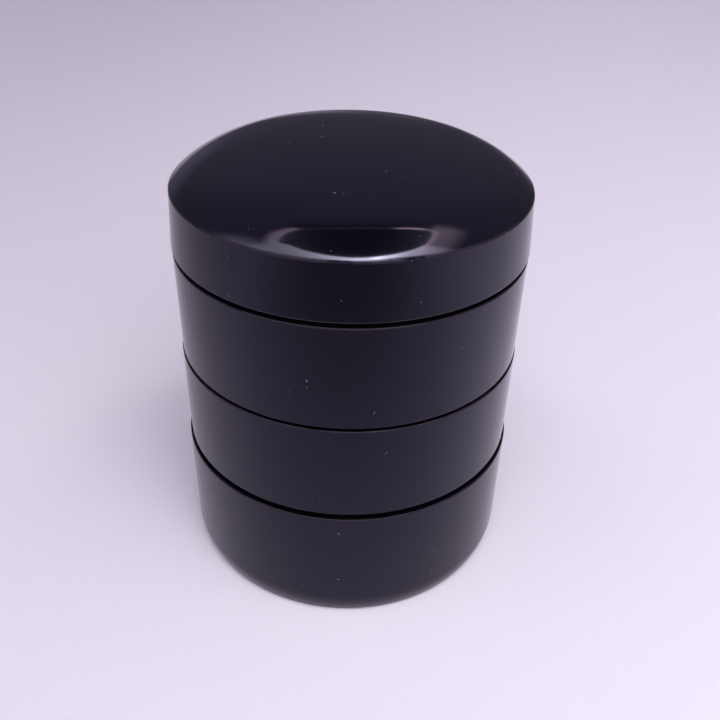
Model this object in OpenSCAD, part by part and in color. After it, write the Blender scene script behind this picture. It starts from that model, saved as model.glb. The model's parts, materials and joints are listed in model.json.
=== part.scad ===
// Round stacked incense box, turned in wood and coated in black lacquer
//
// Three boxes and a domed lid stand one on another, each centred by the raised lip
// of the box below. The lowest box has a thin metal lining. All lengths are in
// millimetres, +Z is up, and the origin is the centre of the underside.

/* [Boxes] */
// Outside diameter of the middle and the upper box at their ledges
body_d = 62.2; // [54:0.1:76]
// How much wider the lower box is than those two
lower_extra_d = 0.4; // [0:0.1:1]
// How far a box's side leans in on its way down
side_lean = 0.15; // [0:0.05:0.4]
// Height of the lower box, from the table to its ledge
lower_h = 24.2; // [16:0.1:36]
// Height of the middle box, from its bottom edge to its ledge
middle_h = 18.3; // [12:0.1:30]
// Height of the upper box, from its bottom edge to its ledge
upper_h = 18.9; // [12:0.1:30]
// Thickness of the side walls below the ledge
wall_t = 3.2; // [2.6:0.1:5]
// Thickness of the floors
floor_t = 2.2; // [1.2:0.1:4]
// Radius of the rounded corner between wall and floor inside a box
hollow_round = 2; // [0.8:0.1:4]

/* [Lips and joints] */
// Height of the raised lip over the ledge
lip_h = 3.2; // [2:0.1:5]
// Thickness of the raised lip
lip_t = 1.4; // [1:0.1:1.8]
// Gap all round between a lip and the piece that covers it
lip_gap = 0.15; // [0.1:0.01:0.3]
// Open line between the lower box and the middle box
lower_seam = 0.9; // [0.2:0.1:1.4]
// Open line between the middle box and the upper box
middle_seam = 0.5; // [0.2:0.1:1.4]
// Open line between the upper box and the lid
upper_seam = 0.9; // [0.2:0.1:1.4]

/* [Lid] */
// How far the lid's bottom edge stands out past the boxes, all round
lid_overhang = 0.15; // [0:0.05:0.6]
// How far the lid's side leans in on its way up
lid_lean = 0.5; // [0:0.1:1.2]
// Height of the lid's side, up to its corner
lid_side_h = 9.8; // [7:0.1:16]
// Slope of the top at the lid's corner, in degrees
corner_slope = 43; // [30:1:60]
// Diameter of the flatter middle of the top
dome_d = 43; // [30:0.5:50]
// Slope of the top at the edge of that middle, in degrees
dome_slope = 13; // [5:1:20]
// Thickness of the lid's top
lid_t = 2.8; // [2:0.1:4]
// Radius of the rounded corner between side and top inside the lid
lid_hollow_round = 1.2; // [0.5:0.1:1.5]

/* [Edges] */
// Rounding of the thin outer edges at the joints
edge_round = 0.25; // [0.1:0.05:0.4]
// Rounding of a lip's two top edges
lip_round = 0.3; // [0.1:0.05:0.4]
// Rounding of the lid's corner
corner_round = 0.5; // [0.2:0.1:1]

/* [Foot] */
// Height of the bend between the lower box's side and its foot, before it is rounded
foot_h = 2.5; // [2.3:0.1:4]
// How far the foot leans in at the table
foot_lean = 1.15; // [0.5:0.05:1.3]
// Radius of the soft rounding between the side and the foot
foot_bend_round = 9; // [2:0.1:10]
// Rounding of the edge that meets the table
foot_edge_round = 0.6; // [0.2:0.1:1]
// Width of the ring that rests on the table
foot_ring_w = 3; // [2:0.1:6]
// Depth of the shallow hollow inside that ring
foot_hollow_h = 0.6; // [0.3:0.1:1.2]

/* [Lining] */
// Thickness of the lining's sheet metal
lining_t = 0.4; // [0.3:0.05:0.8]
// Gap all round between the lining and the lower box
lining_gap = 0.1; // [0.05:0.01:0.3]
// How far the lining's edge stays below the top of the lip
lining_drop = 0.5; // [0.2:0.1:2]

/* [Hidden] */

// Facets of a full turn, and steps in a rounded edge and in the two arcs of the lid's top
$fn = 180;
edge_steps = 6;
shoulder_steps = 8;
dome_steps = 12;

black = "#1c1a22";
soft_black = "#211f28";
metal = "#b9b7ae";

// Radii that the pieces share
body_r = body_d / 2;
hollow_r = body_r - wall_t;
lip_r = hollow_r + lip_t;
recess_r = lip_r + lip_gap;

// Heights over the table
lower_floor_z = foot_hollow_h + floor_t;
middle_z = lower_h + lower_seam;
upper_z = middle_z + middle_h + middle_seam;
lid_z = upper_z + upper_h + upper_seam;

// Side and foot of the lower box
lower_r = body_r + lower_extra_d / 2;
lower_bend_r = lower_r - side_lean;
foot_r = lower_bend_r - foot_lean;
foot_hollow_r = foot_r - foot_ring_w;

// Side of the lid
lid_edge_r = body_r + lid_overhang;
lid_corner_r = lid_edge_r - lid_lean;

// Top of the lid: a shoulder arc from the corner, and a dome arc that carries on from it
dome_r = dome_d / 2;
dome_arc_r = dome_r / sin(dome_slope);
shoulder_arc_r = (lid_corner_r - dome_r) / (sin(corner_slope) - sin(dome_slope));
shoulder_centre = [lid_corner_r, lid_side_h]
    - shoulder_arc_r * [sin(corner_slope), cos(corner_slope)];
dome_centre = [
    0,
    shoulder_centre.y + (shoulder_arc_r - dome_arc_r) * cos(dome_slope)
];
lid_h = dome_centre.y + dome_arc_r;

function unit(v) = v / norm(v);

// Angle from one direction to another, between -180 and 180 degrees
function turn(from, to) = atan2(from.x * to.y - from.y * to.x, from * to);

// The corner at q between p and s, replaced by an arc of radius r
function rounded_corner(p, q, s, r) =
    let (
        u = unit(p - q),
        v = unit(s - q),
        half = acos(u * v) / 2,
        centre = q + unit(u + v) * r / sin(half),
        start = q + u * r / tan(half) - centre,
        sweep = turn(start, q + v * r / tan(half) - centre)
    )
    [
        for (i = [0 : edge_steps])
            let (a = sweep * i / edge_steps)
            centre + [
                start.x * cos(a) - start.y * sin(a),
                start.x * sin(a) + start.y * cos(a)
            ]
    ];

// A closed outline from corners given as [radius, height, rounding]
function outline(corners) =
    let (n = len(corners))
    [
        for (i = [0 : n - 1])
            let (
                before = corners[(i + n - 1) % n],
                here = corners[i],
                after = corners[(i + 1) % n],
                p = [before[0], before[1]],
                q = [here[0], here[1]],
                s = [after[0], after[1]]
            )
            each here[2] == 0 ? [q] : rounded_corner(p, q, s, here[2])
    ];

// Points of an arc between two slopes, without its first point
function slope_arc(centre, r, from_slope, to_slope, steps) =
    [
        for (i = [1 : steps])
            let (a = from_slope + (to_slope - from_slope) * i / steps)
            [centre.x + r * sin(a), centre.y + r * cos(a), 0]
    ];

// The lid's top at a depth under its outside, from a slope at its edge to its middle
function crown(depth, edge_slope) =
    concat(
        slope_arc(shoulder_centre, shoulder_arc_r - depth, edge_slope, dome_slope, shoulder_steps),
        slope_arc(dome_centre, dome_arc_r - depth, dome_slope, 0, dome_steps)
    );

// Ledge, lip and hollow of a box of radius ledge_r, with its ledge at ledge_z and floor at floor_z
function lip_and_hollow(ledge_r, ledge_z, floor_z) =
    [
        [ledge_r, ledge_z, edge_round],
        [lip_r, ledge_z, 0],
        [lip_r, ledge_z + lip_h, lip_round],
        [hollow_r, ledge_z + lip_h, lip_round],
        [hollow_r, floor_z, hollow_round],
        [0, floor_z, 0]
    ];

module turned(corners) {
    rotate_extrude() polygon(outline(corners));
}

// A box that sits on another: the recess under its floor takes the lip below
module stacking_box(height, seam_below) {
    recess_h = lip_h - seam_below;
    turned(concat(
        [
            [0, recess_h, 0],
            [recess_r, recess_h, 0],
            [recess_r, 0, 0],
            [body_r - side_lean, 0, edge_round]
        ],
        lip_and_hollow(body_r, height, recess_h + floor_t)
    ));
}

module lower_box() {
    color(black)
        turned(concat(
            [
                [0, foot_hollow_h, 0],
                [foot_hollow_r, foot_hollow_h, 0],
                [foot_hollow_r, 0, 0],
                [foot_r, 0, foot_edge_round],
                [lower_bend_r, foot_h, foot_bend_round]
            ],
            lip_and_hollow(lower_r, lower_h, lower_floor_z)
        ));
}

module lower_lining() {
    outer_r = hollow_r - lining_gap;
    inner_r = outer_r - lining_t;
    top_z = lower_h + lip_h - lining_drop;
    color(metal)
        turned([
            [0, lower_floor_z, 0],
            [outer_r, lower_floor_z, hollow_round],
            [outer_r, top_z, 0],
            [inner_r, top_z, 0],
            [inner_r, lower_floor_z + lining_t, hollow_round - lining_t],
            [0, lower_floor_z + lining_t, 0]
        ]);
}

module middle_box() {
    color(soft_black)
        translate([0, 0, middle_z])
            stacking_box(middle_h, lower_seam);
}

module upper_box() {
    color(black)
        translate([0, 0, upper_z])
            stacking_box(upper_h, middle_seam);
}

module lid() {
    recess_h = lip_h - upper_seam;
    hollow_arc_r = shoulder_arc_r - lid_t;
    hollow_slope = asin((hollow_r - shoulder_centre.x) / hollow_arc_r);
    hollow_side_h = shoulder_centre.y + hollow_arc_r * cos(hollow_slope);
    hollow_crown = crown(lid_t, hollow_slope);
    color(soft_black)
        translate([0, 0, lid_z])
            turned(concat(
                [for (i = [len(hollow_crown) - 1 : -1 : 0]) hollow_crown[i]],
                [
                    [hollow_r, hollow_side_h, lid_hollow_round],
                    [hollow_r, recess_h, 0],
                    [recess_r, recess_h, 0],
                    [recess_r, 0, 0],
                    [lid_edge_r, 0, edge_round],
                    [lid_corner_r, lid_side_h, corner_round]
                ],
                crown(0, corner_slope)
            ));
}

lower_box();
lower_lining();
middle_box();
upper_box();
lid();
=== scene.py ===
"""Stacked incense box in black lacquer: its looks, built round the packed model.

The packed model is the frame. Each operator turns one piece, or a group of like pieces, and
lays its finish on it. The last operator sets the stage: floor, lamps, world and camera.
"""

import json
import math

import bmesh
import bpy
from bpy.props import FloatProperty, FloatVectorProperty, IntProperty, PointerProperty
from mathutils import Matrix, Vector


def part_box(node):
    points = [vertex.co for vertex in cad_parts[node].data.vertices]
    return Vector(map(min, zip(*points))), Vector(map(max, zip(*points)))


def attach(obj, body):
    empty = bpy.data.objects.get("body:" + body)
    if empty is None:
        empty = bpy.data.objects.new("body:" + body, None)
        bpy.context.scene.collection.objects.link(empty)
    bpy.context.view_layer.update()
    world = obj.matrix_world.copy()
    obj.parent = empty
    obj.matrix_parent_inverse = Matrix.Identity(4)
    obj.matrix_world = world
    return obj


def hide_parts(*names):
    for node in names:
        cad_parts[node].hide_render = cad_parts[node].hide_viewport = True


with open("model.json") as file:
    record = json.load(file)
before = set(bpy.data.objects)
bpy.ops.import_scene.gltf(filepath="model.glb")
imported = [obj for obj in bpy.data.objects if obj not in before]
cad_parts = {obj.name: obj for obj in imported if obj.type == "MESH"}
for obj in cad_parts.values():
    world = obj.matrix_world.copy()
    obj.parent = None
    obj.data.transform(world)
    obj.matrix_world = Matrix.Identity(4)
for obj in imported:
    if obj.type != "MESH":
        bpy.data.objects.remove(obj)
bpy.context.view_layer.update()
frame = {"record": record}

bl_info = {
    "name": "Stacked Incense Box",
    "version": (1, 0, 0),
    "blender": (4, 5, 0),
    "location": "View3D > Sidebar > Incense Box",
    "description": "Turns a stacked incense box in black lacquer and sets its stage",
    "category": "Add Mesh",
}

MM = 0.001

# The faces of a turned piece take one of two finishes
OUTSIDE, INSIDE = 0, 1

# Steps in a rounded edge, and in the two arcs of the lid's top
EDGE_STEPS = 10
SHOULDER_STEPS = 24
HOLLOW_SHOULDER_STEPS = 8
DOME_STEPS = 20
# A straight stretch is longer than this, and gets a ring this close to each of its ends
LONG_STRETCH = 1.2 * MM
RING_INSET = 0.06 * MM
# Edges rounded more tightly than this are worn
WORN_ROUND = 1 * MM
# Most that a turned piece may differ from its node's box, because the node is faceted
BOX_SLACK = 0.1 * MM
# Part of a soft noise over which clouds of polish and tarnish go from none to full
CLOUD_SPAN = (0.3, 0.7)
# How much lighter the lacquer gets in a cloud, and its least and most roughness there
CLOUD_LIFT = 1.35
CLOUD_ROUGHNESS = (0.85, 1.15)
# How much of the dust's colour shows, and what each mark adds to the roughness
DUST_COVER = 0.28
SCRATCH_COVER = 0.35
DUST_ROUGHNESS = 0.6
SCRATCH_ROUGHNESS = 0.25
WEAR_ROUGHNESS = 0.2
# Heights of the lacquer's bumps
POLISH_DEPTH = 0.003 * MM
SCRATCH_DEPTH = 0.004 * MM
DUST_DEPTH = 0.01 * MM
TURNING_DEPTH = 0.006 * MM
LACQUER_IOR = 1.49
# The lower box has small scuffs low at its front right
SCUFFED_PLACE = (17 * MM, -26 * MM, 9.5 * MM)
SCUFFED_EDGE = (7.5 * MM, 2 * MM)
ON_AXIS = 0.001 * MM


def length(name, description, default_mm):
    """A size that a user can change, written in millimetres and held in metres."""
    return FloatProperty(
        name=name,
        description=description,
        default=default_mm * MM,
        min=0.0,
        precision=5,
        unit="LENGTH",
        subtype="DISTANCE",
    )


def angle(name, description, default_degrees):
    """An angle that a user can change, written in degrees and held in radians."""
    return FloatProperty(
        name=name,
        description=description,
        default=math.radians(default_degrees),
        unit="ROTATION",
        subtype="ANGLE",
    )


def share(name, description, default):
    """A value from 0 to 1 that a user can change."""
    return FloatProperty(
        name=name, description=description, default=default, min=0.0, max=1.0, subtype="FACTOR"
    )


def amount(name, description, default):
    """A plain amount that a user can change."""
    return FloatProperty(name=name, description=description, default=default, min=0.0)


def colour(name, description, default):
    """A linear colour that a user can change."""
    return FloatVectorProperty(
        name=name,
        description=description,
        default=default,
        min=0.0,
        size=3,
        subtype="COLOR",
    )


def power(name, description, default):
    """The power of a lamp in watts."""
    return FloatProperty(
        name=name, description=description, default=default, min=0.0, unit="POWER"
    )


class BoxSizes(bpy.types.PropertyGroup):
    """Boxes"""

    body_d: length("Body Diameter", "Diameter of the middle and upper box at their ledges", 62.2)
    lower_extra_d: length("Lower Box Extra", "How much wider the lower box is than those", 0.4)
    side_lean: length("Side Lean", "How far a box's side leans in on its way down", 0.15)
    lower_h: length("Lower Box Height", "From the table to the lower box's ledge", 24.2)
    middle_h: length("Middle Box Height", "From its bottom edge to its ledge", 18.3)
    upper_h: length("Upper Box Height", "From its bottom edge to its ledge", 18.9)
    wall_t: length("Wall Thickness", "Thickness of the side walls below the ledge", 3.2)
    floor_t: length("Floor Thickness", "Thickness of the floors", 2.2)
    hollow_round: length("Hollow Rounding", "Rounding between wall and floor inside", 2)
    lip_h: length("Lip Height", "Height of the raised lip over the ledge", 3.2)
    lip_t: length("Lip Thickness", "Thickness of the raised lip", 1.4)
    lip_gap: length("Lip Gap", "Gap all round between a lip and its cover", 0.15)
    lower_seam: length("Lower Seam", "Open line under the middle box", 0.9)
    middle_seam: length("Middle Seam", "Open line under the upper box", 0.5)
    upper_seam: length("Upper Seam", "Open line under the lid", 0.9)
    edge_round: length("Edge Rounding", "Rounding of the thin outer edges", 0.25)
    lip_round: length("Lip Rounding", "Rounding of a lip's two top edges", 0.3)
    foot_h: length("Foot Height", "Height of the bend between side and foot", 2.5)
    foot_lean: length("Foot Lean", "How far the foot leans in at the table", 1.15)
    foot_bend_round: length("Foot Bend Rounding", "Soft rounding between side and foot", 9)
    foot_edge_round: length("Foot Edge Rounding", "Rounding of the edge at the table", 0.6)
    foot_ring_w: length("Foot Ring Width", "Width of the ring on the table", 3)
    foot_hollow_h: length("Foot Hollow Depth", "Depth of the hollow inside that ring", 0.6)


class LidSizes(bpy.types.PropertyGroup):
    """Lid"""

    overhang: length("Overhang", "How far its bottom edge stands out past the boxes", 0.15)
    lean: length("Lean", "How far its side leans in on its way up", 0.5)
    side_h: length("Side Height", "Height of its side, up to its corner", 9.8)
    corner_slope: angle("Corner Slope", "Slope of the top at the corner", 43)
    dome_d: length("Dome Diameter", "Diameter of the flatter middle of the top", 43)
    dome_slope: angle("Dome Slope", "Slope of the top at the edge of that middle", 13)
    top_t: length("Top Thickness", "Thickness of the lid's top", 2.8)
    hollow_round: length("Hollow Rounding", "Rounding between side and top inside", 1.2)
    corner_round: length("Corner Rounding", "Rounding of the lid's corner", 0.5)


class LiningSizes(bpy.types.PropertyGroup):
    """Lining"""

    sheet_t: length("Sheet Thickness", "Thickness of the sheet metal", 0.4)
    gap: length("Gap", "Gap all round between the lining and the lower box", 0.1)
    drop: length("Drop", "How far its edge stays below the top of the lip", 0.5)


class FinishLooks(bpy.types.PropertyGroup):
    """Finishes"""

    facets: IntProperty(
        name="Facets", description="Facets of a full turn", default=192, min=24, max=512
    )
    lacquer: colour("Lacquer", "Black of the lacquer", (0.0012, 0.0011, 0.0020))
    inner_lacquer: colour("Inner Lacquer", "Black of the dull inside", (0.022, 0.019, 0.030))
    sheen: colour("Sheen", "Tint of the lacquer's mirrored light", (0.72, 0.66, 1.0))
    worn_lacquer: colour("Worn Lacquer", "Brown of thin lacquer on edges", (0.010, 0.007, 0.008))
    dust: colour("Dust", "Colour of the dust", (0.42, 0.41, 0.46))
    gloss: share("Outside Roughness", "Roughness of the polished outside", 0.06)
    inner_gloss: share("Inside Roughness", "Roughness of the inside and underside", 0.3)
    metal: colour("Metal", "Colour of the tinned lining", (0.62, 0.60, 0.55))
    tarnish: colour("Tarnish", "Colour of the lining's tarnish", (0.30, 0.27, 0.22))
    metal_gloss: share("Metal Roughness", "Roughness of the lining", 0.32)


class StageLooks(bpy.types.PropertyGroup):
    """Stage"""

    floor: colour("Floor", "Colour of the pale floor", (0.70, 0.645, 0.742))
    room: colour("Room", "Tint of the room's dim light", (1.08, 1.0, 1.45))
    ceiling_lamp: amount("Ceiling Lamp", "Strength of the ceiling lamp in front", 22.0)
    side_glow: amount("Side Glow", "Strength of the glow at the ceiling lamp's sides", 1.5)
    walls: amount("Walls", "Strength of the lit walls in front and at the sides", 0.4)
    rim: amount("Rim", "Strength of the rim of the dark patch overhead", 2.2)
    front_lamp: power("Front Lamp", "Power of the soft lamp in front", 3.7)


def corner_arc(before, here, after, radius):
    """The points that round a corner between its two neighbours."""
    u = (before - here).normalized()
    v = (after - here).normalized()
    half = u.angle(v) / 2
    centre = here + (u + v).normalized() * radius / math.sin(half)
    start = here + u * radius / math.tan(half) - centre
    end = here + v * radius / math.tan(half) - centre
    sweep = math.atan2(start.x * end.y - start.y * end.x, start.dot(end))
    return [
        centre + Matrix.Rotation(sweep * i / EDGE_STEPS, 2) @ start
        for i in range(EDGE_STEPS + 1)
    ]


def rounded(corners):
    """The points (place, finish, worn) of an outline.

    A corner is (radius, height, rounding, finish), and its finish is that of the stretch
    which starts there. Worn is 1 on a tight convex rounding, and 0 elsewhere.
    """
    places = [Vector(corner[:2]) for corner in corners]
    points = []
    for i, (_, _, rounding, finish) in enumerate(corners):
        here = places[i]
        if rounding == 0:
            points.append((here, finish, 0.0))
            continue
        before, after = places[i - 1], places[i + 1]
        into, onward = here - before, after - here
        convex = into.x * onward.y - into.y * onward.x > 0
        worn = 1.0 if convex and rounding < WORN_ROUND else 0.0
        points += [(p, finish, worn) for p in corner_arc(before, here, after, rounding)]
    return points


def with_rings(points):
    """The same outline with a ring beside each end of its straight stretches."""
    out = []
    for (here, finish, worn), (after, _, _) in zip(points, points[1:]):
        out.append((here, finish, worn))
        span = (after - here).length
        if span > LONG_STRETCH:
            for along in (RING_INSET, span - RING_INSET):
                out.append((here.lerp(after, along / span), finish, 0.0))
    out.append(points[-1])
    return out


def lathe(name, corners, finishes):
    """A turned piece from its outline, which starts and ends on the axis."""
    facets = bpy.context.scene.incense_finishes.facets
    points = with_rings(rounded(corners))
    mesh = bmesh.new()
    worn_layer = mesh.verts.layers.float.new("worn")
    rings = []
    for place, _, worn in points:
        ring = []
        for j in range(1 if place.x < ON_AXIS else facets):
            turn = math.tau * j / facets
            vert = mesh.verts.new((place.x * math.sin(turn), -place.x * math.cos(turn), place.y))
            vert[worn_layer] = worn
            ring.append(vert)
        rings.append(ring)
    for (_, finish, _), ring, after in zip(points, rings, rings[1:]):
        for j in range(facets):
            k = (j + 1) % facets
            around = (ring[j % len(ring)], ring[k % len(ring)])
            back = (after[k % len(after)], after[j % len(after)])
            face = mesh.faces.new(dict.fromkeys(around + back))
            face.material_index = finish
            face.smooth = True
    data = bpy.data.meshes.new(name)
    mesh.to_mesh(data)
    mesh.free()
    for material in finishes:
        data.materials.append(material)
    data.set_sharp_from_angle(angle=math.radians(60))
    piece = bpy.data.objects.new(name, data)
    bpy.context.scene.collection.objects.link(piece)
    return piece


def stand_for(piece, node):
    """Puts a turned piece in its node's place, if it has that node's size."""
    ends = [Vector(corner) for corner in piece.bound_box]
    low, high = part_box(node)
    for axis in range(3):
        reach = [end[axis] for end in ends]
        if abs(min(reach) - low[axis]) > BOX_SLACK or abs(max(reach) - high[axis]) > BOX_SLACK:
            raise ValueError(f"{piece.name} doesn't have the size of {node}")
    bodies = frame["record"]["behaviour"]["bodies"]
    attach(piece, next(body for body in bodies if node in bodies[body]))
    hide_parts(node)


def lip_and_hollow(sizes, ledge_r, base_z, ledge_h, floor_h):
    """Corners of the ledge, lip and hollow of a box whose bottom is at base_z."""
    hollow_r = sizes.body_d / 2 - sizes.wall_t
    lip_r = hollow_r + sizes.lip_t
    ledge_z = base_z + ledge_h
    lip_z = ledge_z + sizes.lip_h
    return [
        (ledge_r, ledge_z, sizes.edge_round, OUTSIDE),
        (lip_r, ledge_z, 0, INSIDE),
        (lip_r, lip_z, sizes.lip_round, INSIDE),
        (hollow_r, lip_z, sizes.lip_round, INSIDE),
        (hollow_r, base_z + floor_h, sizes.hollow_round, INSIDE),
        (0, base_z + floor_h, 0, INSIDE),
    ]


def recess_corners(sizes, base_z, recess_h):
    """Corners of the recess that takes the lip of the box below."""
    recess_r = sizes.body_d / 2 - sizes.wall_t + sizes.lip_t + sizes.lip_gap
    return [
        (recess_r, base_z + recess_h, 0, INSIDE),
        (recess_r, base_z, 0, OUTSIDE),
    ]


def lower_box_corners(sizes):
    """Corners of the lower box, from the middle of its underside to its floor."""
    ledge_r = (sizes.body_d + sizes.lower_extra_d) / 2
    bend_r = ledge_r - sizes.side_lean
    foot_r = bend_r - sizes.foot_lean
    foot_hollow_r = foot_r - sizes.foot_ring_w
    return [
        (0, sizes.foot_hollow_h, 0, INSIDE),
        (foot_hollow_r, sizes.foot_hollow_h, 0, INSIDE),
        (foot_hollow_r, 0, 0, OUTSIDE),
        (foot_r, 0, sizes.foot_edge_round, OUTSIDE),
        (bend_r, sizes.foot_h, sizes.foot_bend_round, OUTSIDE),
        *lip_and_hollow(sizes, ledge_r, 0, sizes.lower_h, sizes.foot_hollow_h + sizes.floor_t),
    ]


def stacking_box_corners(sizes, base_z, height, seam_below):
    """Corners of a box that sits on another, with its bottom edge at base_z."""
    recess_h = sizes.lip_h - seam_below
    return [
        (0, base_z + recess_h, 0, INSIDE),
        *recess_corners(sizes, base_z, recess_h),
        (sizes.body_d / 2 - sizes.side_lean, base_z, sizes.edge_round, OUTSIDE),
        *lip_and_hollow(sizes, sizes.body_d / 2, base_z, height, recess_h + sizes.floor_t),
    ]


def lining_corners(sizes, lining):
    """Corners of the lining, a cup that stands on the lower box's floor."""
    outer_r = sizes.body_d / 2 - sizes.wall_t - lining.gap
    inner_r = outer_r - lining.sheet_t
    floor_z = sizes.foot_hollow_h + sizes.floor_t
    inner_z = floor_z + lining.sheet_t
    rim_z = sizes.lower_h + sizes.lip_h - lining.drop
    rim_round = lining.sheet_t / 4
    return [
        (0, floor_z, 0, OUTSIDE),
        (outer_r, floor_z, sizes.hollow_round, OUTSIDE),
        (outer_r, rim_z, rim_round, OUTSIDE),
        (inner_r, rim_z, rim_round, OUTSIDE),
        (inner_r, inner_z, sizes.hollow_round - lining.sheet_t, OUTSIDE),
        (0, inner_z, 0, OUTSIDE),
    ]


def slope_arc(centre, radius, from_slope, to_slope, steps, finish):
    """Corners along an arc between two slopes, without its first point."""
    slopes = [from_slope + (to_slope - from_slope) * i / steps for i in range(1, steps + 1)]
    return [
        (centre.x + radius * math.sin(slope), centre.y + radius * math.cos(slope), 0, finish)
        for slope in slopes
    ]


def lid_corners(sizes, lid, base_z):
    """Corners of the lid: its hollow and recess, then its side, shoulder and dome."""
    edge_r = sizes.body_d / 2 + lid.overhang
    corner_r = edge_r - lid.lean
    hollow_r = sizes.body_d / 2 - sizes.wall_t
    recess_h = sizes.lip_h - sizes.upper_seam
    dome_r = lid.dome_d / 2
    dome_arc_r = dome_r / math.sin(lid.dome_slope)
    shoulder_arc_r = (corner_r - dome_r) / (math.sin(lid.corner_slope) - math.sin(lid.dome_slope))
    corner = Vector((corner_r, base_z + lid.side_h))
    inward = Vector((math.sin(lid.corner_slope), math.cos(lid.corner_slope)))
    shoulder_centre = corner - shoulder_arc_r * inward
    dome_drop = (dome_arc_r - shoulder_arc_r) * math.cos(lid.dome_slope)
    dome_centre = Vector((0, shoulder_centre.y - dome_drop))

    def crown(depth, edge_slope, shoulder_steps, finish):
        return slope_arc(
            shoulder_centre, shoulder_arc_r - depth, edge_slope, lid.dome_slope,
            shoulder_steps, finish,
        ) + slope_arc(dome_centre, dome_arc_r - depth, lid.dome_slope, 0, DOME_STEPS, finish)

    hollow_arc_r = shoulder_arc_r - lid.top_t
    hollow_slope = math.asin((hollow_r - shoulder_centre.x) / hollow_arc_r)
    hollow_side_z = shoulder_centre.y + hollow_arc_r * math.cos(hollow_slope)
    return [
        *reversed(crown(lid.top_t, hollow_slope, HOLLOW_SHOULDER_STEPS, INSIDE)),
        (hollow_r, hollow_side_z, lid.hollow_round, INSIDE),
        (hollow_r, base_z + recess_h, 0, INSIDE),
        *recess_corners(sizes, base_z, recess_h),
        (edge_r, base_z, sizes.edge_round, OUTSIDE),
        (corner_r, base_z + lid.side_h, lid.corner_round, OUTSIDE),
        *crown(0, lid.corner_slope, SHOULDER_STEPS, OUTSIDE),
    ]


class Wire:
    """A number in a node tree. Sums written with wires become Math nodes."""

    def __init__(self, socket):
        self.socket = socket
        self.tree = socket.id_data

    def through(self, operation, *others):
        """This number and others put through a Math node."""
        inputs = dict(enumerate((self, *others)))
        return Wire(add_node(self.tree, "ShaderNodeMath", inputs, operation=operation).outputs[0])

    def __add__(self, other):
        return self.through("ADD", other)

    def __sub__(self, other):
        return self.through("SUBTRACT", other)

    def __mul__(self, other):
        return self.through("MULTIPLY", other)

    def __truediv__(self, other):
        return self.through("DIVIDE", other)

    def __pow__(self, other):
        return self.through("POWER", other)

    def __abs__(self):
        return self.through("ABSOLUTE")

    def step(self, low, high, to_low=0.0, to_high=1.0):
        """A soft step from one value to another, between a low and a high point."""
        inputs = {
            "Value": self, "From Min": low, "From Max": high, "To Min": to_low, "To Max": to_high
        }
        node = add_node(
            self.tree, "ShaderNodeMapRange", inputs, interpolation_type="SMOOTHSTEP"
        )
        return Wire(node.outputs["Result"])


def add_node(tree, kind, inputs=None, **settings):
    """A new shader node with its settings, and with inputs that are values or links."""
    node = tree.nodes.new(kind)
    for name, value in settings.items():
        setattr(node, name, value)
    for name, value in (inputs or {}).items():
        source = value.socket if isinstance(value, Wire) else value
        if isinstance(source, bpy.types.NodeSocket):
            tree.links.new(source, node.inputs[name])
        else:
            node.inputs[name].default_value = source
    return node


def blend_colours(tree, factor, first, second, blend_type="MIX"):
    """The result of a colour Mix node."""
    node = add_node(
        tree, "ShaderNodeMix", {0: factor, 6: first, 7: second},
        data_type="RGBA", blend_type=blend_type,
    )
    return node.outputs[2]


def opaque(rgb):
    """A colour with full alpha."""
    return (*rgb, 1.0)


def noise(tree, where, scale, detail=2.0, roughness=0.5):
    """A soft noise over the surface."""
    inputs = {"Vector": where, "Scale": scale, "Detail": detail, "Roughness": roughness}
    return Wire(add_node(tree, "ShaderNodeTexNoise", inputs).outputs["Fac"])


def new_group(name, inputs, outputs):
    """A shader group with named sockets, and its inner ends."""
    tree = bpy.data.node_groups.new(name, "ShaderNodeTree")
    for socket, kind, default in inputs:
        made = tree.interface.new_socket(socket, in_out="INPUT", socket_type=kind)
        if default is not None:
            made.default_value = default
    for socket in outputs:
        tree.interface.new_socket(socket, in_out="OUTPUT", socket_type="NodeSocketFloat")
    given = add_node(tree, "NodeGroupInput").outputs
    wires = {socket.name: Wire(socket) for socket in given if socket.type == "VALUE"}
    return tree, given.get("Vector"), wires, add_node(tree, "NodeGroupOutput").inputs


def use_group(tree, build, inputs):
    """The outputs of a shader group placed in a tree. The group is built only once."""
    group = bpy.data.node_groups.get(build.__name__) or build(build.__name__)
    placed = add_node(tree, "ShaderNodeGroup", inputs, node_tree=group)
    return {socket.name: Wire(socket) for socket in placed.outputs}


def scattered_marks(name):
    """Small marks here and there, of uneven size and outline."""
    tree, where, given, result = new_group(
        name,
        (
            ("Vector", "NodeSocketVector", None),
            ("Spacing", "NodeSocketFloat", 1.2 * MM),
            ("Size", "NodeSocketFloat", 0.12 * MM),
            ("Amount", "NodeSocketFloat", 0.05),
        ),
        ("Mask",),
    )
    spacing = given["Spacing"]
    cells = add_node(
        tree, "ShaderNodeTexVoronoi", {"Vector": where, "Scale": spacing ** -1}
    ).outputs
    draw = add_node(tree, "ShaderNodeSeparateColor", {"Color": cells["Color"]}).outputs
    ragged = noise(tree, where, 1 / (0.16 * MM), detail=2.0).step(0.42, 0.62, 0.2, 1.6)
    reach = given["Size"] * (Wire(draw["Green"]) + 0.4) * ragged
    mark = (Wire(cells["Distance"]) * spacing / reach).step(1.0, 0.6)
    drawn = Wire(draw["Red"]).through("LESS_THAN", given["Amount"])
    tree.links.new((mark * drawn).socket, result["Mask"])
    return tree


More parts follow.
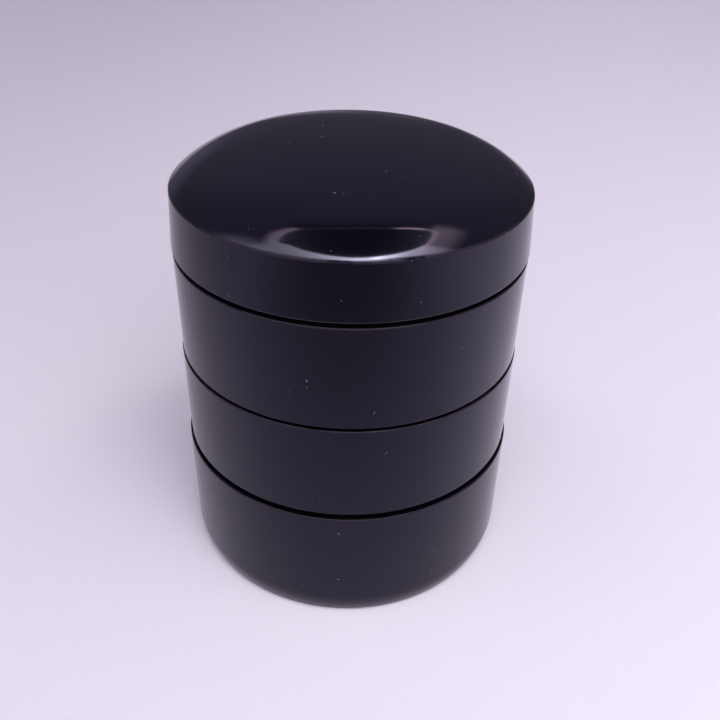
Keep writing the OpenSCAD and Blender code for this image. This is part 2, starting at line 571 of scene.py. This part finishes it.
def fine_scratches(name):
    """Short fine scratches that run in several directions."""
    tree, where, given, result = new_group(
        name,
        (
            ("Vector", "NodeSocketVector", None),
            ("Length", "NodeSocketFloat", 14.0),
            ("Amount", "NodeSocketFloat", 0.05),
        ),
        ("Mask",),
    )
    squeeze = add_node(tree, "ShaderNodeCombineXYZ", {"X": given["Length"] ** -1, "Y": 1, "Z": 1})
    masks = []
    for turn in ((0.3, 1.1, 0.2), (1.4, -0.4, 1.9), (-0.8, 0.5, 2.9), (0.2, -1.3, 0.9)):
        turned = add_node(
            tree, "ShaderNodeVectorRotate", {"Vector": where, "Rotation": turn},
            rotation_type="EULER_XYZ",
        )
        squeezed = add_node(
            tree, "ShaderNodeVectorMath",
            {0: turned.outputs[0], 1: squeeze.outputs[0]}, operation="MULTIPLY",
        )
        inputs = {
            "Vector": squeezed.outputs[0], "Spacing": 0.5 * MM, "Size": 0.03 * MM,
            "Amount": given["Amount"],
        }
        masks.append(use_group(tree, scattered_marks, inputs)["Mask"])
    longest = masks[0]
    for mask in masks[1:]:
        longest = longest.through("MAXIMUM", mask)
    tree.links.new(longest.socket, result["Mask"])
    return tree


def edge_wear(name):
    """Patchy wear along the tightly rounded edges."""
    tree, where, given, result = new_group(
        name,
        (
            ("Vector", "NodeSocketVector", None),
            ("Amount", "NodeSocketFloat", 0.5),
        ),
        ("Mask",),
    )
    worn = Wire(add_node(tree, "ShaderNodeAttribute", attribute_name="worn").outputs["Fac"])
    low = given["Amount"] * -0.5 + 0.75
    patches = noise(tree, where, 1 / (5 * MM), detail=4.0, roughness=0.6).step(low, low + 0.15)
    tree.links.new((worn * patches).socket, result["Mask"])
    return tree


def hand_polish(name):
    """Cloudy unevenness of a polish, and the faint waves of a brushed coat."""
    tree, where, given, result = new_group(
        name,
        (
            ("Vector", "NodeSocketVector", None),
            ("Cloud Size", "NodeSocketFloat", 9 * MM),
            ("Wave Size", "NodeSocketFloat", 6 * MM),
        ),
        ("Clouds", "Waves"),
    )
    clouds = noise(tree, where, given["Cloud Size"] ** -1, detail=3.0)
    waves = noise(tree, where, given["Wave Size"] ** -1, detail=0.0)
    tree.links.new(clouds.socket, result["Clouds"])
    tree.links.new(waves.socket, result["Waves"])
    return tree


def turned_rings(name):
    """Rings left by turning or spinning: by radius on a floor, and by height on a wall."""
    tree, where, given, result = new_group(
        name,
        (
            ("Vector", "NodeSocketVector", None),
            ("Spacing", "NodeSocketFloat", 0.5 * MM),
        ),
        ("Height",),
    )
    place = add_node(tree, "ShaderNodeSeparateXYZ", {"Vector": where}).outputs
    across = (Wire(place["X"]) ** 2 + Wire(place["Y"]) ** 2) ** 0.5
    along = (across + Wire(place["Z"])) / given["Spacing"]
    inputs = {"W": along, "Scale": 1.0, "Detail": 3.0, "Roughness": 0.7}
    rings = add_node(tree, "ShaderNodeTexNoise", inputs, noise_dimensions="1D")
    tree.links.new(rings.outputs["Fac"], result["Height"])
    return tree


def new_material(name):
    """A material with its tree, its Principled surface and its object coordinates."""
    material = bpy.data.materials.new(name)
    material.use_nodes = True
    tree = material.node_tree
    where = add_node(tree, "ShaderNodeTexCoord").outputs["Object"]
    return material, tree, tree.nodes["Principled BSDF"], where


def distance(tree, where, place):
    """How far a point of the surface is from a place."""
    node = add_node(tree, "ShaderNodeVectorMath", {0: where, 1: place}, operation="DISTANCE")
    return Wire(node.outputs["Value"])


def bump(tree, height, depth, normal=None):
    """The normal of a surface raised by a height from 0 to 1 times a depth."""
    inputs = {"Height": height, "Distance": depth, "Strength": 1.0}
    if normal is not None:
        inputs["Normal"] = normal
    return add_node(tree, "ShaderNodeBump", inputs).outputs["Normal"]


def lacquer(name, black, roughness, dust_amount, scratch_amount, ring_depth):
    """Black lacquer with fine scratches, dust, worn edges and a hand-polished coat."""
    looks = bpy.context.scene.incense_finishes
    material, tree, surface, where = new_material(name)
    dust = use_group(
        tree, scattered_marks,
        {"Vector": where, "Spacing": 1.3 * MM, "Size": 0.18 * MM, "Amount": dust_amount},
    )["Mask"]
    scuffs = use_group(
        tree, scattered_marks,
        {"Vector": where, "Spacing": 0.7 * MM, "Size": 0.11 * MM, "Amount": 0.35},
    )["Mask"]
    scuffed = distance(tree, where, SCUFFED_PLACE).step(*SCUFFED_EDGE)
    dust = dust.through("MAXIMUM", scuffs * scuffed)
    scratches = use_group(
        tree, fine_scratches, {"Vector": where, "Length": 14.0, "Amount": scratch_amount}
    )["Mask"]
    wear = use_group(tree, edge_wear, {"Vector": where, "Amount": 0.8})["Mask"]
    polish = use_group(
        tree, hand_polish, {"Vector": where, "Cloud Size": 9 * MM, "Wave Size": 5 * MM}
    )
    rings = use_group(tree, turned_rings, {"Vector": where, "Spacing": 0.6 * MM})["Height"]
    clouds = polish["Clouds"]

    greyer = opaque([channel * CLOUD_LIFT for channel in black])
    shade = blend_colours(tree, clouds.step(*CLOUD_SPAN), opaque(black), greyer)
    shade = blend_colours(tree, wear, shade, opaque(looks.worn_lacquer))
    shade = blend_colours(tree, scratches * SCRATCH_COVER, shade, opaque(looks.dust))
    shade = blend_colours(tree, dust * DUST_COVER, shade, opaque(looks.dust))
    tree.links.new(shade, surface.inputs["Base Color"])

    low, high = (roughness * part for part in CLOUD_ROUGHNESS)
    rough = clouds.step(*CLOUD_SPAN, low, high) + wear * WEAR_ROUGHNESS
    rough = rough + scratches * SCRATCH_ROUGHNESS + dust * DUST_ROUGHNESS
    tree.links.new(rough.socket, surface.inputs["Roughness"])

    normal = bump(tree, polish["Waves"], POLISH_DEPTH)
    normal = bump(tree, rings, ring_depth, normal)
    normal = bump(tree, scratches, -SCRATCH_DEPTH, normal)
    normal = bump(tree, dust, DUST_DEPTH, normal)
    tree.links.new(normal, surface.inputs["Normal"])
    surface.inputs["IOR"].default_value = LACQUER_IOR
    surface.inputs["Specular Tint"].default_value = opaque(looks.sheen)
    return material


def lining_metal():
    """Tinned sheet with spun rings, tarnish and fine scratches."""
    looks = bpy.context.scene.incense_finishes
    material, tree, surface, where = new_material("lining_metal")
    rings = use_group(tree, turned_rings, {"Vector": where, "Spacing": 0.35 * MM})["Height"]
    polish = use_group(
        tree, hand_polish, {"Vector": where, "Cloud Size": 7 * MM, "Wave Size": 9 * MM}
    )
    scratches = use_group(
        tree, fine_scratches, {"Vector": where, "Length": 20.0, "Amount": 0.1}
    )["Mask"]
    tarnish = polish["Clouds"].step(0.45, 0.75)
    shade = blend_colours(tree, tarnish * 0.6, opaque(looks.metal), opaque(looks.tarnish))
    tree.links.new(shade, surface.inputs["Base Color"])
    surface.inputs["Metallic"].default_value = 1.0
    gloss = looks.metal_gloss
    rough = rings.step(0.2, 0.8, gloss * 0.8, gloss * 1.2) + tarnish * 0.15
    tree.links.new(rough.socket, surface.inputs["Roughness"])
    normal = bump(tree, rings, 0.02 * MM)
    normal = bump(tree, polish["Waves"], 0.05 * MM, normal)
    normal = bump(tree, scratches, -0.01 * MM, normal)
    tree.links.new(normal, surface.inputs["Normal"])
    return material


def lacquer_pair():
    """The outside and the inside lacquer, made once for all the lacquered pieces."""
    looks = bpy.context.scene.incense_finishes
    finishes = (
        ("lacquer_outside", looks.lacquer, looks.gloss, 0.04, 0.06, 0.0),
        ("lacquer_inside", looks.inner_lacquer, looks.inner_gloss, 0.006, 0.03, TURNING_DEPTH),
    )
    return [bpy.data.materials.get(finish[0]) or lacquer(*finish) for finish in finishes]


class INCENSE_OT_lower_box(bpy.types.Operator):
    """Turn the lower box with its softly rounded foot"""

    bl_idname = "incense.lower_box"
    bl_label = "Lower Box"

    def execute(self, context):
        corners = lower_box_corners(context.scene.incense_boxes)
        stand_for(lathe("lower_box_turned", corners, lacquer_pair()), "lower_box")
        return {"FINISHED"}


class INCENSE_OT_lining(bpy.types.Operator):
    """Spin the metal lining of the lower box"""

    bl_idname = "incense.lining"
    bl_label = "Lining"

    def execute(self, context):
        corners = lining_corners(context.scene.incense_boxes, context.scene.incense_lining)
        piece = lathe("lower_lining_spun", corners, [lining_metal()])
        stand_for(piece, "lower_lining")
        return {"FINISHED"}


class INCENSE_OT_stacking_boxes(bpy.types.Operator):
    """Turn the middle and the upper box, which sit on the lip of the box below"""

    bl_idname = "incense.stacking_boxes"
    bl_label = "Middle and Upper Box"

    def execute(self, context):
        sizes = context.scene.incense_boxes
        middle_z = sizes.lower_h + sizes.lower_seam
        upper_z = middle_z + sizes.middle_h + sizes.middle_seam
        for node, base_z, height, seam_below in (
            ("middle_box", middle_z, sizes.middle_h, sizes.lower_seam),
            ("upper_box", upper_z, sizes.upper_h, sizes.middle_seam),
        ):
            corners = stacking_box_corners(sizes, base_z, height, seam_below)
            stand_for(lathe(f"{node}_turned", corners, lacquer_pair()), node)
        return {"FINISHED"}


class INCENSE_OT_lid(bpy.types.Operator):
    """Turn the domed lid"""

    bl_idname = "incense.lid"
    bl_label = "Lid"

    def execute(self, context):
        sizes = context.scene.incense_boxes
        seams = sizes.lower_seam + sizes.middle_seam + sizes.upper_seam
        base_z = sizes.lower_h + sizes.middle_h + sizes.upper_h + seams
        corners = lid_corners(sizes, context.scene.incense_lid, base_z)
        stand_for(lathe("lid_turned", corners, lacquer_pair()), "lid")
        return {"FINISHED"}


# The camera stands where the photograph was taken from
CAMERA_BACK = 137.8 * MM
CAMERA_HEIGHT = 129.4 * MM
CAMERA_PITCH = math.radians(34.01)
CAMERA_PAN = math.radians(0.89)
CAMERA_ROLL = math.radians(1.49)
LENS_MM = 42.83
SENSOR_MM = 36


def place_camera():
    """The camera at the photograph's angle."""
    ahead = Vector((
        math.sin(CAMERA_PAN) * math.cos(CAMERA_PITCH),
        math.cos(CAMERA_PAN) * math.cos(CAMERA_PITCH),
        -math.sin(CAMERA_PITCH),
    ))
    level = ahead.cross(Vector((0, 0, 1))).normalized()
    upright = level.cross(ahead)
    right = math.cos(CAMERA_ROLL) * level + math.sin(CAMERA_ROLL) * upright
    up = right.cross(ahead)
    data = bpy.data.cameras.new("camera")
    data.sensor_width = SENSOR_MM
    data.lens = LENS_MM
    data.clip_start = 1 * MM
    camera = bpy.data.objects.new("camera", data)
    turned = Matrix((right, up, -ahead)).transposed().to_4x4()
    camera.matrix_world = Matrix.Translation((0, -CAMERA_BACK, CAMERA_HEIGHT)) @ turned
    bpy.context.scene.collection.objects.link(camera)
    bpy.context.scene.camera = camera


FLOOR_SIZE = 6
# Painted shade: the floor's colour is a little darker at its left, in place of light that is
# dimmer there
FLOOR_LEFT_SHADE = 0.8
FLOOR_FADE = 200 * MM
FLOOR_ROUGHNESS = 0.9
FLOOR_SPECULAR = 0.1
# Painted shade that only reflections see: the lacquer mirrors the floor darker under the camera,
# at the left, behind the box, and far off
SHADE_PLACE = (0, -260 * MM, 0)
SHADE_EDGE = (60 * MM, 300 * MM)
SHADE_DEPTH = 0.8
LEFT_EDGE = (20 * MM, -60 * MM)
LEFT_DEPTH = 0.15
LEFT_END = (500 * MM, 300 * MM)
BEHIND_SIDE = (-180 * MM, 60 * MM)
BEHIND_EDGE = (300 * MM, 650 * MM)
BEHIND_DEPTH = 0.75
FAR_SHADE_MIDDLE = (-250 * MM, 350 * MM, 0)
FAR_SHADE_EDGE = (600 * MM, 1300 * MM)
FAR_SHADE_DEPTH = 0.7

FRONT_LAMP_PLACE = Vector((90 * MM, -370 * MM, 490 * MM))
FRONT_LAMP_SIZE = 500 * MM

# Brightness of the room at some heights over the horizon, as sines
ROOM_STEPS = ((0, 0.085), (0.1, 0.085), (0.35, 0.13), (0.6, 0.19), (0.9, 0.25), (1, 0.2))
# What hangs over the box is given on a flat ceiling one unit over it, by how far it lies to the
# right and to the front. A pair is where a soft edge starts and where it is full. Four numbers
# are such a pair and its two strengths.
CEILING_EDGE = (0.3, 0.5)
LOWEST_CEILING = 0.05

# The dark patch overhead, with the bend of its left side
PATCH_MIDDLE = 0.025
PATCH_HALF_WIDTH = 0.49
PATCH_FRONT = 0.34
PATCH_FRONT_CURVE = 1.7
PATCH_BACK = 0.17
PATCH_BACK_CURVE = 5
PATCH_TILT = 0.09
PATCH_LEAN = 0.7
LEAN_SIDE = (-0.2, -0.45)
LEAN_END = (0.12, 0.06)
PATCH_EDGE = (0.97, 1.04)
PATCH_DIM_EDGE = (1.0, 0.9)
PATCH_DIM = 0.6
# The dimmer ceiling round the patch
ROUND_EDGE = (2.4, 1.2)
ROUND_SIDE = (1.05, 0.7)
ROUND_DIM = 0.45

# The lit rim along the back and the sides of the patch, and the faint glow inside it
RIM_START = (0.97, 1.03)
RIM_WIDTH = (-0.4, -0.9, 0.17, 0.4)
RIM_FADE = (1.0, 0.2)
RIM_FRONT = (0.12, 0.04)
RIM_LEFT = (-0.6, -0.9, 0.12, 1.0)
RIM_RIGHT = (0.35, 0.55, 0.0, 3.0)
RIM_CORNER = (0.72, 0.92, 1.0, 0.25)
INNER_GLOW = 0.5
INNER_GLOW_EDGE = (1.04, 0.97)
INNER_GLOW_CURVE = 3

# The ceiling lamp in front of the patch, with the brighter bulb in it
LAMP_MIDDLE = 0.17
LAMP_EVEN = 0.13
LAMP_FADE_LEFT = 0.27
LAMP_FADE_RIGHT = 0.17
LAMP_BACK = (0.03, 0.12)
BULB_PLACE = 0.2
BULB_SIZE = 0.09
BULB_EXTRA = 0.6
# The lit part of the ceiling ends at a curve at the left, and at a slant line at the right
LIT_MIDDLE = 0.08
LIT_FRONT = 0.415
LIT_BEND_LEFT = 0.35
LIT_SLANT_RIGHT = 0.36
LIT_FADE = (0.02, -0.035)

# The glow on the ceiling at both sides of the lamp
LEFT_GLOW_SLANT = 0.54
LEFT_GLOW_START = 0.32
LEFT_GLOW_FADE = (-0.06, 0.22)
LEFT_GLOW_SIDE = (-0.35, -0.85)
LEFT_GLOW_END = (-1.5, -0.8, 0.3, 1.0)
RIGHT_GLOW_START = (0.44, 0.52)
RIGHT_GLOW_END = (0.95, 0.6)
RIGHT_GLOW_BACK = (-0.35, -0.2)

# The lit walls in front and at the sides, and the pale strip low at the left
FRONT_WALL = (0.6, 1.2)
SIDE_WALL = (0.9, 1.4)
SIDE_WALL_BACK = (-0.2, 0.2)
LOW_STRIP_SIDE = (-0.15, -0.4)
LOW_STRIP_TOP = (0.28, 0.12)
LOW_STRIP = 0.2

LEFT_TINT = (1.03, 1.0, 1.1, 1.0)
RIGHT_TINT = (1.25, 1.0, 0.95, 1.0)
LAMP_TINT = (0.97, 1.0, 0.9, 1.0)


def add_front_lamp(looks):
    """A soft lamp in front, turned to the box."""
    data = bpy.data.lights.new("front_lamp", "AREA")
    data.size = FRONT_LAMP_SIZE
    data.energy = looks.front_lamp
    lamp = bpy.data.objects.new("front_lamp", data)
    lamp.location = FRONT_LAMP_PLACE
    lamp.rotation_euler = FRONT_LAMP_PLACE.to_track_quat("Z", "Y").to_euler()
    lamp.visible_glossy = False
    bpy.context.scene.collection.objects.link(lamp)


def make_floor(looks):
    """A wide pale floor with painted shade: a little darker at its left, and darker in some parts
    that only the lacquer's reflections see.
    """
    mesh = bpy.data.meshes.new("floor")
    reach = FLOOR_SIZE / 2
    corners = [(-reach, -reach, 0), (reach, -reach, 0), (reach, reach, 0), (-reach, reach, 0)]
    mesh.from_pydata(corners, [], [range(4)])
    floor = bpy.data.objects.new("floor", mesh)
    bpy.context.scene.collection.objects.link(floor)
    material, tree, surface, where = new_material("floor_paper")
    place = add_node(tree, "ShaderNodeSeparateXYZ", {"Vector": where}).outputs
    across, away = Wire(place["X"]), Wire(place["Y"])
    # Painted shade: the floor's colour darkens towards the left
    right = across.step(-FLOOR_FADE, FLOOR_FADE)
    shade = blend_colours(
        tree, right, opaque([channel * FLOOR_LEFT_SHADE for channel in looks.floor]), opaque(looks.floor)
    )
    # Painted shade in reflections only: where the ray is glossy, parts of the floor turn darker
    mirrored = Wire(add_node(tree, "ShaderNodeLightPath").outputs["Is Glossy Ray"])
    near_camera = distance(tree, where, SHADE_PLACE).step(*SHADE_EDGE, SHADE_DEPTH, 0.0)
    far_off = distance(tree, where, FAR_SHADE_MIDDLE).step(*FAR_SHADE_EDGE, 0.0, FAR_SHADE_DEPTH)
    behind = across.step(*BEHIND_SIDE) * away.step(*BEHIND_EDGE, 0.0, BEHIND_DEPTH)
    left = across.step(*LEFT_EDGE, 0.0, LEFT_DEPTH) * away.step(*LEFT_END)
    dark = near_camera.through("MAXIMUM", far_off).through("MAXIMUM", left)
    dark = dark.through("MAXIMUM", behind)
    shade = blend_colours(tree, dark * mirrored, shade, opaque((0, 0, 0)))
    tree.links.new(shade, surface.inputs["Base Color"])
    fibres = noise(tree, where, 1 / (1.5 * MM), detail=6.0, roughness=0.7)
    surface.inputs["Roughness"].default_value = FLOOR_ROUGHNESS
    surface.inputs["Specular IOR Level"].default_value = FLOOR_SPECULAR
    tree.links.new(bump(tree, fibres, 0.05 * MM), surface.inputs["Normal"])
    mesh.materials.append(material)


def room_light(tree, up):
    """The room's dim light by height over the horizon."""
    ramp = add_node(tree, "ShaderNodeValToRGB", {"Fac": up})
    stops = ramp.color_ramp.elements
    while len(stops) < len(ROOM_STEPS):
        stops.new(1.0)
    for stop, (at, level) in zip(stops, ROOM_STEPS):
        stop.position = at
        stop.color = (level, level, level, 1)
    return ramp.outputs["Color"]


def patch_distance(across, right, front):
    """How far out a place on the ceiling is, with 1 at the dark patch's edge."""
    to_front = (front / PATCH_FRONT).through("MAXIMUM", 0)
    to_back = ((front + right * PATCH_TILT) / -PATCH_BACK).through("MAXIMUM", 0)
    curve = PATCH_FRONT_CURVE
    out_front = (abs(across) ** curve + to_front ** curve) ** (1 / curve)
    curve = PATCH_BACK_CURVE
    out_back = (abs(across) ** curve + to_back ** curve) ** (1 / curve)
    in_front = front.through("GREATER_THAN", 0)
    return out_front * in_front + out_back * (in_front * -1 + 1)


def make_world(looks):
    """A dim room with a ceiling lamp in front, and a dark patch with a lit rim overhead."""
    world = bpy.data.worlds.new("studio")
    bpy.context.scene.world = world
    world.use_nodes = True
    tree = world.node_tree
    way = add_node(tree, "ShaderNodeTexCoord").outputs["Generated"]
    part = add_node(tree, "ShaderNodeSeparateXYZ", {"Vector": way}).outputs
    up = Wire(part["Z"])
    right = Wire(part["X"]) / up.through("MAXIMUM", LOWEST_CEILING)
    front = Wire(part["Y"]) / up.through("MAXIMUM", LOWEST_CEILING) * -1
    lean = right.step(*LEAN_SIDE) * front.step(*LEAN_END) * front * PATCH_LEAN
    across = (right - PATCH_MIDDLE + lean) / PATCH_HALF_WIDTH
    out = patch_distance(across, right, front)
    overhead = up.step(*CEILING_EDGE)
    outside = out.step(*PATCH_EDGE) * overhead

    past_right = (right - LAMP_MIDDLE - LAMP_EVEN) / LAMP_FADE_RIGHT
    past_left = (right - LAMP_MIDDLE + LAMP_EVEN) / -LAMP_FADE_LEFT
    past = past_right.through("MAXIMUM", past_left).through("MAXIMUM", 0)
    lamp = (past * -1).through("EXPONENT")
    lamp = lamp + abs(right - BULB_PLACE).step(BULB_SIZE, 0) * BULB_EXTRA
    lit_left = (right - LIT_MIDDLE).through("MINIMUM", 0) ** 2 * LIT_BEND_LEFT
    lit_right = (right - LIT_MIDDLE).through("MAXIMUM", 0) * LIT_SLANT_RIGHT
    lit = (front + lit_left + lit_right - LIT_FRONT).step(*LIT_FADE) * outside
    lamp = lamp * front.step(*LAMP_BACK) * lit

    slant = front - right * LEFT_GLOW_SLANT - LEFT_GLOW_START
    left_glow = slant.step(*LEFT_GLOW_FADE)
    left_glow = left_glow * right.step(*LEFT_GLOW_SIDE) * right.step(*LEFT_GLOW_END) * lit
    right_glow = right.step(*RIGHT_GLOW_START) * right.step(*RIGHT_GLOW_END)
    right_glow = right_glow * front.step(*RIGHT_GLOW_BACK) * lit

    rim_edge = (out - 1) / across.step(*RIM_WIDTH)
    rim = out.step(*RIM_START) * rim_edge.step(*RIM_FADE) * front.step(*RIM_FRONT) * overhead
    rim = rim * (across.step(*RIM_LEFT) + across.step(*RIM_RIGHT))
    rim = rim * across.step(*RIM_CORNER)
    inner_glow = abs(across) ** INNER_GLOW_CURVE * out.step(*INNER_GLOW_EDGE) * INNER_GLOW

    side_walls = abs(right).step(*SIDE_WALL) * front.step(*SIDE_WALL_BACK)
    walls = front.step(*FRONT_WALL).through("MAXIMUM", side_walls)
    walls = walls + Wire(part["X"]).step(*LOW_STRIP_SIDE) * up.step(*LOW_STRIP_TOP) * LOW_STRIP

    round_it = out.step(*ROUND_EDGE) * abs(across).step(*ROUND_SIDE) * overhead
    within = out.step(*PATCH_DIM_EDGE) * overhead
    dim = (round_it * -ROUND_DIM + 1) * (within * -PATCH_DIM + 1)
    sky = blend_colours(tree, 1.0, room_light(tree, up), dim, "MULTIPLY")
    sky = blend_colours(tree, 1.0, sky, opaque(looks.room), "MULTIPLY")
    for strength, tint in (
        (lamp * looks.ceiling_lamp, LAMP_TINT),
        (left_glow * looks.side_glow + inner_glow, LEFT_TINT),
        (right_glow * looks.side_glow + rim * looks.rim, RIGHT_TINT),
        (walls * looks.walls, opaque(looks.room)),
    ):
        light = blend_colours(tree, 1.0, tint, strength, "MULTIPLY")
        sky = blend_colours(tree, 1.0, sky, light, "ADD")
    tree.links.new(sky, tree.nodes["Background"].inputs["Color"])


class INCENSE_OT_stage(bpy.types.Operator):
    """Set the floor, the lamps, the world and the camera"""

    bl_idname = "incense.stage"
    bl_label = "Stage"

    def execute(self, context):
        looks = context.scene.incense_stage
        context.scene.view_settings.view_transform = "Standard"
        make_floor(looks)
        make_world(looks)
        add_front_lamp(looks)
        place_camera()
        return {"FINISHED"}


class INCENSE_PT_panel(bpy.types.Panel):
    """The sizes, the looks and the operators"""

    bl_idname = "INCENSE_PT_panel"
    bl_label = "Incense Box"
    bl_space_type = "VIEW_3D"
    bl_region_type = "UI"
    bl_category = "Incense Box"

    def draw(self, context):
        for group, name in GROUPS.items():
            self.layout.label(text=group.__doc__)
            for prop in group.__annotations__:
                self.layout.prop(getattr(context.scene, name), prop)
        for operator in OPERATORS:
            self.layout.operator(operator.bl_idname)


GROUPS = {
    BoxSizes: "incense_boxes",
    LidSizes: "incense_lid",
    LiningSizes: "incense_lining",
    FinishLooks: "incense_finishes",
    StageLooks: "incense_stage",
}
OPERATORS = (
    INCENSE_OT_lower_box,
    INCENSE_OT_lining,
    INCENSE_OT_stacking_boxes,
    INCENSE_OT_lid,
    INCENSE_OT_stage,
)


def register():
    for group, name in GROUPS.items():
        bpy.utils.register_class(group)
        setattr(bpy.types.Scene, name, PointerProperty(type=group))
    for shown in (*OPERATORS, INCENSE_PT_panel):
        bpy.utils.register_class(shown)


def unregister():
    for shown in (INCENSE_PT_panel, *reversed(OPERATORS)):
        bpy.utils.unregister_class(shown)
    for group, name in reversed(GROUPS.items()):
        delattr(bpy.types.Scene, name)
        bpy.utils.unregister_class(group)


def main():
    """Makes every piece and the stage."""
    register()
    bpy.ops.incense.lower_box()
    bpy.ops.incense.lining()
    bpy.ops.incense.stacking_boxes()
    bpy.ops.incense.lid()
    bpy.ops.incense.stage()


if __name__ == "__main__":
    main()
